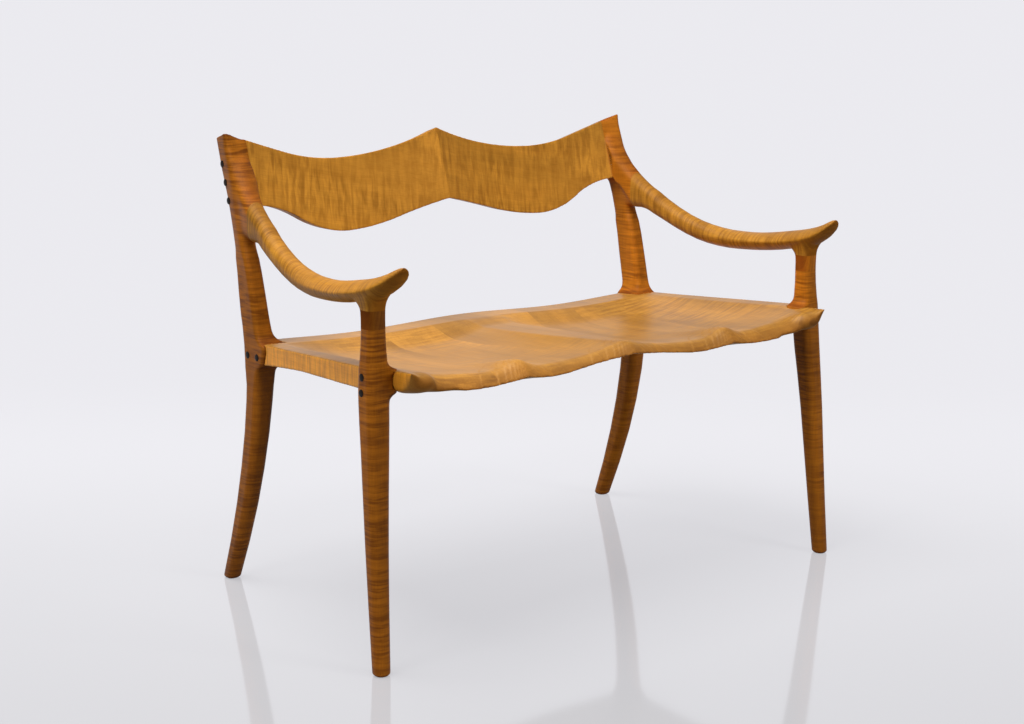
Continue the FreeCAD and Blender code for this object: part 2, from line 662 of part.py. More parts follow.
def face_at(shape, y, z):
    # outermost x of a shape on the level line through y and z
    line = Part.makeLine(V(CREST_JOINT_X - FOOT_HALF, y, z), V(FAR, y, z))
    return line.common(shape).BoundBox.XMax


def pin(tail, way, long, radius, sides):
    # round rod drawn with a few flat sides
    axis = V(way)
    axis.normalize()
    side = axis.cross(V(0.3, 0.5, 0.8))
    side.normalize()
    corners = []
    for k in range(sides):
        t = 2 * math.pi * k / sides
        corners.append(tail + side * (radius * math.cos(t)) + axis.cross(side) * (radius * math.sin(t)))
    return slab(corners, axis * long)


def plug(x, y, z):
    return pin(V(x - PLUG_DEEP, y, z), V(1, 0, 0), PLUG_DEEP + PLUG_PROUD, PLUG_R, PLUG_SIDES)


def screw(x, y, z):
    # countersunk screw whose head lies against the bottom of the plug
    head = pin(V(x - PLUG_DEEP - HEAD_H, y, z), V(1, 0, 0), HEAD_H, HEAD_R, PIN_SIDES)
    shank = pin(V(x - PLUG_DEEP - SCREW_LONG, y, z), V(1, 0, 0), SCREW_LONG - HEAD_H, SHANK_R, PIN_SIDES)
    return head.fuse(shank)


def dowel(centre, way, half, radius):
    axis = V(way)
    axis.normalize()
    return pin(centre - axis * half, axis, 2 * half, radius, PIN_SIDES)


def both_sides(shapes):
    group = []
    for shape in shapes:
        group.append(shape)
        group.append(mirror(shape))
    return Part.makeCompound(group)


os.makedirs("parts", exist_ok=True)

seat = seat_body()
leg_f = front_leg()
leg_r = rear_leg()
arm_all = arm_body()
crest_r = crest_half()

# The rear leg carries the root of the arm, cut off under a line from the crest to the crotch
stops = [0.93 * CREST_JOINT_X, 1.07 * POST_OUT_X]
leg_r = leg_r.cut(profile_cutter(crest_top, stops, FAR, CREST_FALL))
arm_root = arm_all.common(box(CREST_JOINT_X, FAR, ARM_JOINT_Y, FAR, 0, FAR))
crotch_y = ARM_JOINT_Y - ROOT_BELOW
crotch_z = ARM_H + flow(ARM_Z, 1) - flow(ARM_KEEL, 1)
edge = [V(0, crotch_y, crotch_z), V(0, post_front(CREST_END), CREST_END), V(0, 2 * CREST_Y, CREST_END)]
edge = edge + [V(0, 2 * CREST_Y, 0), V(0, crotch_y, 0)]
leg_r = leg_r.fuse(arm_root.cut(slab(edge, V(POST_IN_X + 3, 0, 0))))

arm_front = arm_all.common(box(0, FAR, -FAR, ARM_JOINT_Y, 0, FAR)).cut(leg_r)
arm_front = arm_front.fuse(arm_block_body())
glue = box(0, FAR, -FAR, FRONT_TOP_Y + 4 * FRONT_TOP_HALF, 0, ARM_GLUE_Z)
block = arm_front.common(glue)
arm_r = arm_front.cut(glue)

# Seat boards, notched round the legs with a tongue in each leg
leg_f = leg_f.cut(groove_front(0))
leg_r = leg_r.cut(groove_rear(0))
boards = []
for k in range(3):
    boards.append(seat.common(board_slab(k)))
centre = seat.common(board_slab(-1))
boards[2] = boards[2].cut(leg_f).cut(leg_r)
leg_f = leg_f.cut(groove_front(TONGUE_GAP))
leg_r = leg_r.cut(groove_rear(TONGUE_GAP))

# Screws under plugs: two through each leg into the seat, three through each rear leg into the crest
rear_z = (rim(POST_IN_X + FOOT_HALF, REAR_SEAT_Y) + under(POST_IN_X + FOOT_HALF, REAR_SEAT_Y)) / 2
front_z = (rim(NECK_X, FRONT_TOP_Y) + under(NECK_X, FRONT_TOP_Y)) / 2
spots = {}
spots["rear_leg"] = []
spots["front_leg"] = []
for shift in PLUG_REAR_Y:
    spots["rear_leg"].append((REAR_SEAT_Y + shift, rear_z - PLUG_DROP))
for shift in PLUG_FRONT_Z:
    spots["front_leg"].append((FRONT_TOP_Y, front_z - PLUG_DROP + shift))
spots["crest"] = []
for k in (1.42, 0.8, 0.19):
    z = CREST_END + k * CREST_MID_RISE
    spots["crest"].append((post_front(z) + 0.62 * CREST_THICK, z))
out = {}
for name in spots:
    plugs = []
    screws = []
    for y, z in spots[name]:
        x = face_at(leg_f if name == "front_leg" else leg_r, y, z)
        plugs.append(plug(x, y, z))
        screws.append(screw(x, y, z))
    for tool in plugs + screws:
        if name == "front_leg":
            leg_f = leg_f.cut(tool)
        else:
            leg_r = leg_r.cut(tool)
    for tool in screws:
        if name == "crest":
            crest_r = crest_r.cut(tool)
        else:
            boards[2] = boards[2].cut(tool)
    out["plugs_" + name] = both_sides(plugs)
    out["screws_" + name] = both_sides(screws)

# Dowels inside the glue joints
rise = flow(ARM_Z, 1.04) - flow(ARM_Z, 0.96)
arm_way = V(flow(ARM_X, 1.04) - flow(ARM_X, 0.96), 0.08 * ARM_LONG, rise)
arm_spot = V(FRONT_TOP_X + flow(ARM_X, 1), ARM_JOINT_Y, ARM_H + flow(ARM_Z, 1) - DOWEL_R)
peg = dowel(arm_spot, arm_way, DOWEL_HALF, DOWEL_R)
arm_r = arm_r.cut(peg)
leg_r = leg_r.cut(peg)
out["dowels_arm_rear"] = both_sides([peg])
block_spot = V(FRONT_TOP_X, FRONT_TOP_Y, (ARM_JOINT_Z + ARM_GLUE_Z) / 2)
peg = dowel(block_spot, V(0, 0, 1), 1.6 * DOWEL_HALF, DOWEL_R)
arm_r = arm_r.cut(peg)
block = block.cut(peg)
leg_f = leg_f.cut(peg)
out["dowels_arm_front"] = both_sides([peg])
pegs = []
for k in (0.5, 1.5):
    z = CREST_END + k * CREST_MID_RISE
    pegs.append(dowel(V(0, post_front(z) + CREST_THICK / 2, z), V(1, 0, 0), DOWEL_HALF, DOWEL_R))
for tool in pegs:
    crest_r = crest_r.cut(tool)
out["dowels_crest"] = Part.makeCompound(pegs)
pegs = []
for k in range(3):
    for y in (seat_y(0.22), seat_y(0.5), seat_y(0.79)):
        x = seam(k, y)
        z = wood_middle(x, y, SEAT_DOWEL_HALF)
        across = V(SEAM_STEP, seam(k, 0) - seam(k, SEAM_STEP), 0)
        peg = dowel(V(x, y, z), across, SEAT_DOWEL_HALF, SEAT_DOWEL_R)
        pegs.append(peg)
        boards[k] = boards[k].cut(peg)
        if k > 0:
            boards[k - 1] = boards[k - 1].cut(peg)
        else:
            centre = centre.cut(peg).cut(mirror(peg))
out["dowels_seat"] = both_sides(pegs)

out["seat_board_centre"] = centre
right = {}
for k in range(3):
    right["seat_board_right_" + str(k + 1)] = boards[k]
right["front_leg_right"] = leg_f
right["rear_leg_right"] = leg_r
right["arm_right"] = arm_r
right["arm_block_right"] = block
right["crest_right"] = crest_r
for name in right:
    out[name] = right[name]
    out[name.replace("right", "left")] = mirror(right[name])
for name in out:
    out[name].exportStep("parts/" + name + ".step")
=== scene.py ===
# %% [markdown]
# # A sculpted settee in figured wood
# This lesson dresses a finished CAD model. The shapes are already true to size, so Blender's work is to sand
# them smooth, to give them their wood, and to set up a glossy studio floor, soft light and a camera where the
# photographer stood. The model comes in as fixed nodes. They are never moved or changed: where a surface has
# to be softer than the solids, a merged copy is worked on and then stands for its node.

# %% Load the model
import json
import math

import bpy
import numpy as np
from mathutils import Euler, Matrix, Vector

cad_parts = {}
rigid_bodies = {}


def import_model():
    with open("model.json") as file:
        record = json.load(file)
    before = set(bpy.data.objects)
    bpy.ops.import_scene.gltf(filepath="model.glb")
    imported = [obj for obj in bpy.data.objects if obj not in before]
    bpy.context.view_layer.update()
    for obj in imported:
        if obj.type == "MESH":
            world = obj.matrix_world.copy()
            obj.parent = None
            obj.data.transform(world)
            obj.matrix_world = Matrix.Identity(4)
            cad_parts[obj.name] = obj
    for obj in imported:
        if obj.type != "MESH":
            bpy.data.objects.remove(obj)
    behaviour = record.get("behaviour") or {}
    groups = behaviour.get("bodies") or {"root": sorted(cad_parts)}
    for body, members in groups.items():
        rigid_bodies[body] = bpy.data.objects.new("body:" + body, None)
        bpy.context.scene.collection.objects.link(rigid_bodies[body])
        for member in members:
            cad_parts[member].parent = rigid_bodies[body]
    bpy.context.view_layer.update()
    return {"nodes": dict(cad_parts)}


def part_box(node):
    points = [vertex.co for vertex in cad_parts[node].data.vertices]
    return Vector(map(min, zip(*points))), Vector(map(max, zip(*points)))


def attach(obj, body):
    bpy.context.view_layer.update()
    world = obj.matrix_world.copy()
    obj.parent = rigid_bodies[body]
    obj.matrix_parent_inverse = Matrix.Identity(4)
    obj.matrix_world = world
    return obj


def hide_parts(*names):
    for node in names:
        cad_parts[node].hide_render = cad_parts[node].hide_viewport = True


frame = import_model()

nodes = frame["nodes"]
SIDES = ("right", "left")

# %% [markdown]
# ## Camera
# The photographer stood in front of the settee and to its left, a little above the arms. The direction is
# given by three angles: the turn from straight behind, the tilt down and a slight roll. A camera looks along
# its own -Z, so its axes are right, up and backwards.

# %% Camera
CAMERA_PLACE = Vector((-1.945, -2.3825, 1.0206))
CAMERA_TURN = math.radians(38.814)
CAMERA_TILT = math.radians(11.691)
CAMERA_ROLL = math.radians(0.271)
LENS = 61.93

ahead = Vector((math.sin(CAMERA_TURN) * math.cos(CAMERA_TILT),
                math.cos(CAMERA_TURN) * math.cos(CAMERA_TILT),
                -math.sin(CAMERA_TILT)))
level = Vector((math.cos(CAMERA_TURN), -math.sin(CAMERA_TURN), 0))
upward = level.cross(ahead)
right = level * math.cos(CAMERA_ROLL) + upward * math.sin(CAMERA_ROLL)
up = upward * math.cos(CAMERA_ROLL) - level * math.sin(CAMERA_ROLL)

bpy.ops.object.select_all(action="DESELECT")
bpy.ops.object.camera_add(location=CAMERA_PLACE)
camera = bpy.context.object
camera.name = "camera"
turned = Matrix((right, up, -ahead)).transposed()
camera.rotation_euler = turned.to_euler()
camera.data.sensor_fit = "HORIZONTAL"
camera.data.sensor_width = 36
camera.data.lens = LENS
bpy.context.scene.camera = camera
bpy.context.scene.view_settings.view_transform = "Standard"
print("camera looks along", [round(v, 3) for v in ahead])

# %% [markdown]
# ## Working on copies
# A maker glues the frame up first and then files and sands across the joints, so that an arm flows into its
# post without a step. The same is done here: copies of the solids are joined, remeshed into one skin of small
# even faces, smoothed, and then sawn apart again at the glue lines. These helpers do the single steps.


# %% Helpers for pieces
def activate(piece):
    bpy.ops.object.select_all(action="DESELECT")
    piece.select_set(True)
    bpy.context.view_layer.objects.active = piece


def merged_copy(name, node_names):
    bpy.ops.object.select_all(action="DESELECT")
    for node_name in node_names:
        part = bpy.data.objects.new(name, nodes[node_name].data.copy())
        bpy.context.collection.objects.link(part)
        part.select_set(True)
        bpy.context.view_layer.objects.active = part
    if len(node_names) > 1:
        bpy.ops.object.join()
    piece = bpy.context.view_layer.objects.active
    bpy.ops.object.mode_set(mode="EDIT")
    bpy.ops.mesh.select_all(action="SELECT")
    bpy.ops.mesh.remove_doubles(threshold=0.00001)
    bpy.ops.object.mode_set(mode="OBJECT")
    piece.data.materials.clear()
    return piece


def twin(piece, name):
    other = bpy.data.objects.new(name, piece.data.copy())
    bpy.context.collection.objects.link(other)
    return other


def apply_modifier(piece, kind, **values):
    activate(piece)
    modifier = piece.modifiers.new(kind.lower(), kind)
    for key, value in values.items():
        setattr(modifier, key, value)
    bpy.ops.object.modifier_apply(modifier=modifier.name)


def reskin(piece, cell):
    # one closed skin of even faces; the piece is turned out of line with the cells for it, so that no long
    # edge runs along a row of them and comes out wavy
    activate(piece)
    turn = Euler((0.31, 0.47, 0.63)).to_matrix()
    piece.rotation_euler = turn.to_euler()
    bpy.ops.object.transform_apply(location=False, rotation=True, scale=False)
    apply_modifier(piece, "REMESH", mode="VOXEL", voxel_size=cell)
    piece.rotation_euler = turn.inverted().to_euler()
    bpy.ops.object.transform_apply(location=False, rotation=True, scale=False)


def choose(piece, test):
    # select the faces whose centre passes the test
    faces = piece.data.polygons
    centres = np.empty(3 * len(faces))
    faces.foreach_get("center", centres)
    x, y, z = centres.reshape(-1, 3).T
    faces.foreach_set("select", test(x, y, z))
    bpy.context.tool_settings.mesh_select_mode = (False, False, True)


def saw(piece, test, point, normal):
    # among the chosen faces, take off what lies beyond the plane and close the cut
    activate(piece)
    choose(piece, test)
    bpy.ops.object.mode_set(mode="EDIT")
    bpy.ops.mesh.bisect(plane_co=point, plane_no=normal, use_fill=True, clear_outer=True)
    bpy.ops.object.mode_set(mode="OBJECT")


def keep(piece, test):
    # delete everything that is not linked to the chosen faces
    activate(piece)
    choose(piece, test)
    bpy.ops.object.mode_set(mode="EDIT")
    bpy.ops.mesh.select_linked()
    bpy.ops.mesh.select_all(action="INVERT")
    bpy.ops.mesh.delete(type="VERT")
    bpy.ops.object.mode_set(mode="OBJECT")


def everywhere(x, y, z):
    return np.full(len(x), True)


CREASE = math.radians(38)


def stand_for(piece, node_name):
    activate(piece)
    bpy.ops.object.shade_smooth_by_angle(angle=CREASE)
    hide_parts(node_name)
    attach(piece, "root")
    print(piece.name, "faces:", len(piece.data.polygons))


# %% [markdown]
# ## Frame
# The right half of the frame, with both halves of the crest, becomes one skin. A light smoothing all over
# breaks the edges as sandpaper does. Around the root of the arm and where a leg lands on the seat the wood is
# filed to a hollow, so these places are smoothed much longer: a vertex group says where.

# %% Sanding the frame
FRAME_CELL = 0.0015
EDGE_DEPTH = 0.013
EDGE_FADE = 0.008
PLUGS = ("plugs_rear_leg", "plugs_front_leg", "plugs_crest")
FRAME_NODES = ["front_leg_right", "arm_block_right", "arm_right", "rear_leg_right", "crest_right",
               "crest_left"]
skin = merged_copy("frame_skin", FRAME_NODES + list(PLUGS))
reskin(skin, FRAME_CELL)
keep(skin, lambda x, y, z: x > 0.03)
apply_modifier(skin, "SMOOTH", factor=0.5, iterations=3)


def places_of(piece):
    places = np.empty(3 * len(piece.data.vertices))
    piece.data.vertices.foreach_get("co", places)
    return places.reshape(-1, 3)


def mark(piece, name, weights):
    # a vertex group in ten steps of weight
    group = piece.vertex_groups.new(name=name)
    for step in range(1, 11):
        members = np.nonzero(np.round(weights * 10) == step)[0]
        group.add(members.tolist(), step / 10, "REPLACE")


def filed(piece, name, low, high, soft, turns, cover=None):
    # long smoothing inside a box, fading out over a margin; cover says where it is held back
    places = places_of(piece)
    inside = np.minimum(places - np.array(low), np.array(high) - places).min(axis=1)
    weights = np.clip(inside / soft, 0, 1)
    if cover is not None:
        weights = weights * cover(*places.T)
    mark(piece, name, weights)
    apply_modifier(piece, "SMOOTH", factor=0.5, iterations=turns, vertex_group=name)


joint_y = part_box("arm_right")[1][1]
crest_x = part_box("crest_right")[1][0]
leg_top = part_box("front_leg_right")[1][2]
glue_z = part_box("arm_block_right")[1][2]


def below_arm_edge(x, y, z):
    # 0 near the crisp upper edge of the arm, 1 well below it
    slices = np.linspace(-0.30, 0.09, 79)
    near = (x > 0.4) & (y < 0.1) & (z > glue_z)
    tops = [z[near & (abs(y - middle) < 0.006)].max(initial=glue_z) for middle in slices]
    return np.clip((np.interp(y, slices, tops) - z - EDGE_DEPTH) / EDGE_FADE, 0, 1)


root_low = (crest_x + 0.002, joint_y - 0.050, 0.585)
filed(skin, "arm_root", root_low, (0.48, 0.272, 0.79), 0.018, 200)
filed(skin, "arm_rest", (0.40, -0.285, leg_top), (0.55, -0.165, 0.62), 0.012, 30, below_arm_edge)
filed(skin, "rear_landing", (0.38, 0.10, 0.375), (0.48, 0.24, 0.49), 0.014, 30)

# the flat top of the arm keeps its crisp edge: there the skin is laid back onto the solid
model = merged_copy("arm_model", ["arm_right"])
x, y, z = places_of(skin).T
fade = np.clip((0.08 - y) / 0.06, 0, 1) * (x > 0.38) * (z > glue_z)
mark(skin, "arm_top", fade * (1 - below_arm_edge(x, y, z)))
apply_modifier(skin, "SHRINKWRAP", target=model, wrap_method="NEAREST_SURFACEPOINT",
               vertex_group="arm_top")
bpy.data.objects.remove(model)
print("skin faces:", len(skin.data.polygons))

# %% [markdown]
# Now the skin is sawn at the glue lines. Each piece starts as a copy of the whole skin, loses what lies beyond
# its joints, and keeps only what hangs together with itself. The left pieces are the mirror images.


# %% Sawing the frame
def front_part(x, y, z):
    return y < -0.15


def rear_part(x, y, z):
    return (y > 0.05) & (z > 0.575)


def crest_part(x, y, z):
    return (y > 0.1) & (z > 0.6)


UP = (0, 0, 1)
DOWN = (0, 0, -1)
pieces = {}

leg = twin(skin, "sanded_front_leg_right")
saw(leg, front_part, (0, 0, leg_top), UP)
keep(leg, lambda x, y, z: (z < 0.3) & (y < 0))
pieces["front_leg_right"] = leg

block = twin(skin, "sanded_arm_block_right")
saw(block, front_part, (0, 0, leg_top), DOWN)
saw(block, front_part, (0, 0, glue_z), UP)
keep(block, lambda x, y, z: (z < glue_z) & (y < -0.2))
pieces["arm_block_right"] = block

arm = twin(skin, "sanded_arm_right")
saw(arm, front_part, (0, 0, glue_z), DOWN)
saw(arm, rear_part, (0, joint_y, 0), (0, 1, 0))
keep(arm, lambda x, y, z: (z > glue_z) & (y < -0.2))
pieces["arm_right"] = arm

post = twin(skin, "sanded_rear_leg_right")
saw(post, rear_part, (0, joint_y, 0), (0, -1, 0))
saw(post, crest_part, (crest_x, 0, 0), (-1, 0, 0))
keep(post, lambda x, y, z: (z < 0.3) & (y > 0.2))
pieces["rear_leg_right"] = post

crest = twin(skin, "sanded_crest_right")
saw(crest, crest_part, (crest_x, 0, 0), (1, 0, 0))
saw(crest, everywhere, (0, 0, 0), (-1, 0, 0))
keep(crest, lambda x, y, z: (x < 0.3) & (z > 0.6))
pieces["crest_right"] = crest
bpy.data.objects.remove(skin)
print("sawn from the frame:", list(pieces))

# %% [markdown]
# ## Seat
# The seat boards are sanded as one surface too, and sawn along their slanting glue lines. The planes repeat
# the lines of the model: the first one beside the middle, the next ones a step apart, all at the same slant.
# The front corner ends in a full round nose under its flat top: a flattened ball is let into it before
# sanding. The pommels, in the middle of each place and between the two, are drawn a little up and forward
# along a crest line, which fades out backwards.

# %% Sanding the seat
SEAT_CELL = 0.0020
SEAM_FIRST = 0.095
SEAM_STEP = 0.110
SEAM_SLANT = math.radians(7)
NOSE_PLACE = (0.431, -0.2725, 0.4515)
NOSE_SIZE = (0.030, 0.027, 0.0170)
POMMEL_X = 0.229
POMMEL_UP = 0.006
POMMEL_OUT = 0.004
POMMEL_HALF = 0.030
POMMEL_BACK = -0.19
POMMEL_FADE = 0.10
UNDERSIDE = 0.40
board_nodes = ["seat_board_centre"]
for side in SIDES:
    for number in (1, 2, 3):
        board_nodes.append("seat_board_%s_%d" % (side, number))
seat = merged_copy("seat_skin", board_nodes)
bpy.ops.object.select_all(action="DESELECT")
bpy.ops.mesh.primitive_uv_sphere_add(segments=48, ring_count=24, radius=1, location=NOSE_PLACE)
bpy.context.object.scale = NOSE_SIZE
bpy.ops.object.transform_apply(location=True, rotation=True, scale=True)
seat.select_set(True)
bpy.context.view_layer.objects.active = seat
bpy.ops.object.join()
reskin(seat, SEAT_CELL)
apply_modifier(seat, "SMOOTH", factor=0.5, iterations=4)


def ridge(x, y, z, middle):
    # highest on a line along Y, at the front edge, falling off to both sides and backwards
    front = np.clip((POMMEL_BACK - y) / POMMEL_FADE, 0, 1) ** 1.5 * (z > UNDERSIDE)
    return front * np.exp(-abs(x - middle) / POMMEL_HALF)


x, y, z = places_of(seat).T
mark(seat, "pommels", np.maximum(ridge(x, y, z, POMMEL_X), ridge(x, y, z, 0.0)))
for direction, strength in (("Z", POMMEL_UP), ("Y", -POMMEL_OUT)):
    apply_modifier(seat, "DISPLACE", direction=direction, strength=strength, mid_level=0.0,
                   vertex_group="pommels")
filed(seat, "nose", (0.35, -0.34, UNDERSIDE), (0.50, -0.215, 0.476), 0.016, 200)
print("seat faces:", len(seat.data.polygons))


def saw_seam(piece, number, way):
    # a glue line of the +X side; way 1 takes off what lies outside it, way -1 what lies inside
    point = (SEAM_FIRST + SEAM_STEP * number, 0, 0)
    saw(piece, everywhere, point, (way * math.cos(SEAM_SLANT), -way * math.sin(SEAM_SLANT), 0))


centre = twin(seat, "sanded_seat_board_centre")
saw_seam(centre, 0, 1)
saw(centre, everywhere, (-SEAM_FIRST, 0, 0), (-math.cos(SEAM_SLANT), -math.sin(SEAM_SLANT), 0))
pieces["seat_board_centre"] = centre
for number in (1, 2, 3):
    board = twin(seat, "sanded_seat_board_right_%d" % number)
    saw_seam(board, number - 1, -1)
    if number < 3:
        saw_seam(board, number, 1)
    pieces["seat_board_right_%d" % number] = board
bpy.data.objects.remove(seat)

# %% [markdown]
# ## Left side
# The settee is symmetric, so each left piece is the right one mirrored in the plane x = 0. Mirroring turns a
# mesh inside out, and its normals are flipped back. Every piece then stands for its node of the model.

# %% Mirror images
for name in list(pieces):
    if name.endswith("centre"):
        continue
    left_name = name.replace("right", "left")
    other = twin(pieces[name], "sanded_" + left_name)
    other.data.transform(Matrix.Scale(-1, 4, (1, 0, 0)))
    other.data.flip_normals()
    pieces[left_name] = other
for name, piece in pieces.items():
    stand_for(piece, name)

# %% [markdown]
# ## Plugs
# Each plug is a short rod of dark wood, cut a hair proud of the leg and rounded over by hand. One is turned
# from a cylinder: its outer face is inset and pushed out, and the rim is bevelled. Copies go where the solids
# have their plugs. Those are found by taking a copy of each group apart into its loose rods.

# %% Turning a plug
PLUG_RADIUS = 0.0062
PLUG_LENGTH = 0.009
PLUG_DOME = 0.0009
bpy.ops.object.select_all(action="DESELECT")
bpy.ops.mesh.primitive_cylinder_add(vertices=32, radius=PLUG_RADIUS, depth=PLUG_LENGTH,
                                    location=(-PLUG_LENGTH / 2, 0, 0), rotation=(0, math.radians(90), 0))
pattern = bpy.context.object
pattern.name = "plug_pattern"
bpy.ops.object.transform_apply(location=True, rotation=True, scale=True)
choose(pattern, lambda x, y, z: x > -0.0001)
bpy.ops.object.mode_set(mode="EDIT")
for share in (0.18, 0.27, 0.36):
    bpy.ops.mesh.inset(thickness=share * PLUG_RADIUS, depth=PLUG_DOME * (0.55 - share))
bpy.ops.object.mode_set(mode="OBJECT")
apply_modifier(pattern, "BEVEL", width=0.0005, segments=3, limit_method="ANGLE",
               angle_limit=math.radians(35))
print("plug faces:", len(pattern.data.polygons))

# %% [markdown]
# The model's own rods say where each copy goes and which way it faces: away from the middle of the settee.
# The copies of one group are joined, because the group is one node.


# %% Setting the plugs
def loose_rods(node_name):
    group = merged_copy("rods", [node_name])
    activate(group)
    bpy.ops.mesh.separate(type="LOOSE")
    return list(bpy.context.selected_objects)


for node_name in PLUGS:
    copies = []
    for rod in loose_rods(node_name):
        corners = [v.co.copy() for v in rod.data.vertices]
        middle = sum(corners, Vector()) / len(corners)
        out = 1 if middle.x > 0 else -1
        face_x = max(abs(c.x) for c in corners)
        copy = twin(pattern, "turned_" + node_name)
        if out < 0:
            copy.data.transform(Matrix.Rotation(math.pi, 4, "Z"))
        copy.data.transform(Matrix.Translation((out * face_x, middle.y, middle.z)))
        copies.append(copy)
        bpy.data.objects.remove(rod)
    bpy.ops.object.select_all(action="DESELECT")
    for copy in copies:
        copy.select_set(True)
    bpy.context.view_layer.objects.active = copies[0]
    bpy.ops.object.join()
    pieces[node_name] = copies[0]
    stand_for(copies[0], node_name)
bpy.data.objects.remove(pattern)

# %% [markdown]
# ## Node helpers
# Every finish below is a small tree of nodes. A few helpers keep the trees short: one adds a node and sets its
# values, one joins an output to an input, one makes a material with its shader, one makes a colour ramp.


# %% Node helpers
def add(tree, kind, **values):
    node = tree.nodes.new(kind)
    for key, value in values.items():
        if key in node.bl_rna.properties:
            setattr(node, key, value)
        else:
            node.inputs[key.replace("_", " ")].default_value = value
    return node


def join(tree, source, target):
    tree.links.new(source, target)


def empty_material(name):
    material = bpy.data.materials.new(name)
    material.use_nodes = True
    tree = material.node_tree
    tree.nodes.clear()
    shader = add(tree, "ShaderNodeBsdfPrincipled")
    end = add(tree, "ShaderNodeOutputMaterial")
    join(tree, shader.outputs[0], end.inputs[0])
    return material, tree, shader


def ramp(tree, stops):
    node = add(tree, "ShaderNodeValToRGB")
    while len(node.color_ramp.elements) < len(stops):
        node.color_ramp.elements.new(0.5)
    for element, (place, colour) in zip(node.color_ramp.elements, stops):
        element.position = place
        element.color = (*colour, 1)
    return node


def multiply(tree, share, first, second):
    node = add(tree, "ShaderNodeMix", data_type="RGBA", blend_type="MULTIPLY")
    if isinstance(share, float):
        node.inputs[0].default_value = share
    else:
        join(tree, share, node.inputs[0])
    join(tree, first, node.inputs[6])
    join(tree, second, node.inputs[7])
    return node.outputs[2]


# %% [markdown]
# ## Figured wood
# The settee is made of maple with a curly figure: fine stripes run across the grain, because the fibres
# wave, and they shimmer under an oil finish. One function makes the wood for any grain direction. It reads
# object coordinates, turned so that the pattern's own X runs along the grain, and builds four layers: slow
# changes of tone, growth lines, thin fibres along the grain, and the curl across it, which comes and goes.
# End grain, where the surface faces along the grain, is darker and less shiny.


# %% Figured wood
END_ROUGHNESS = 0.5


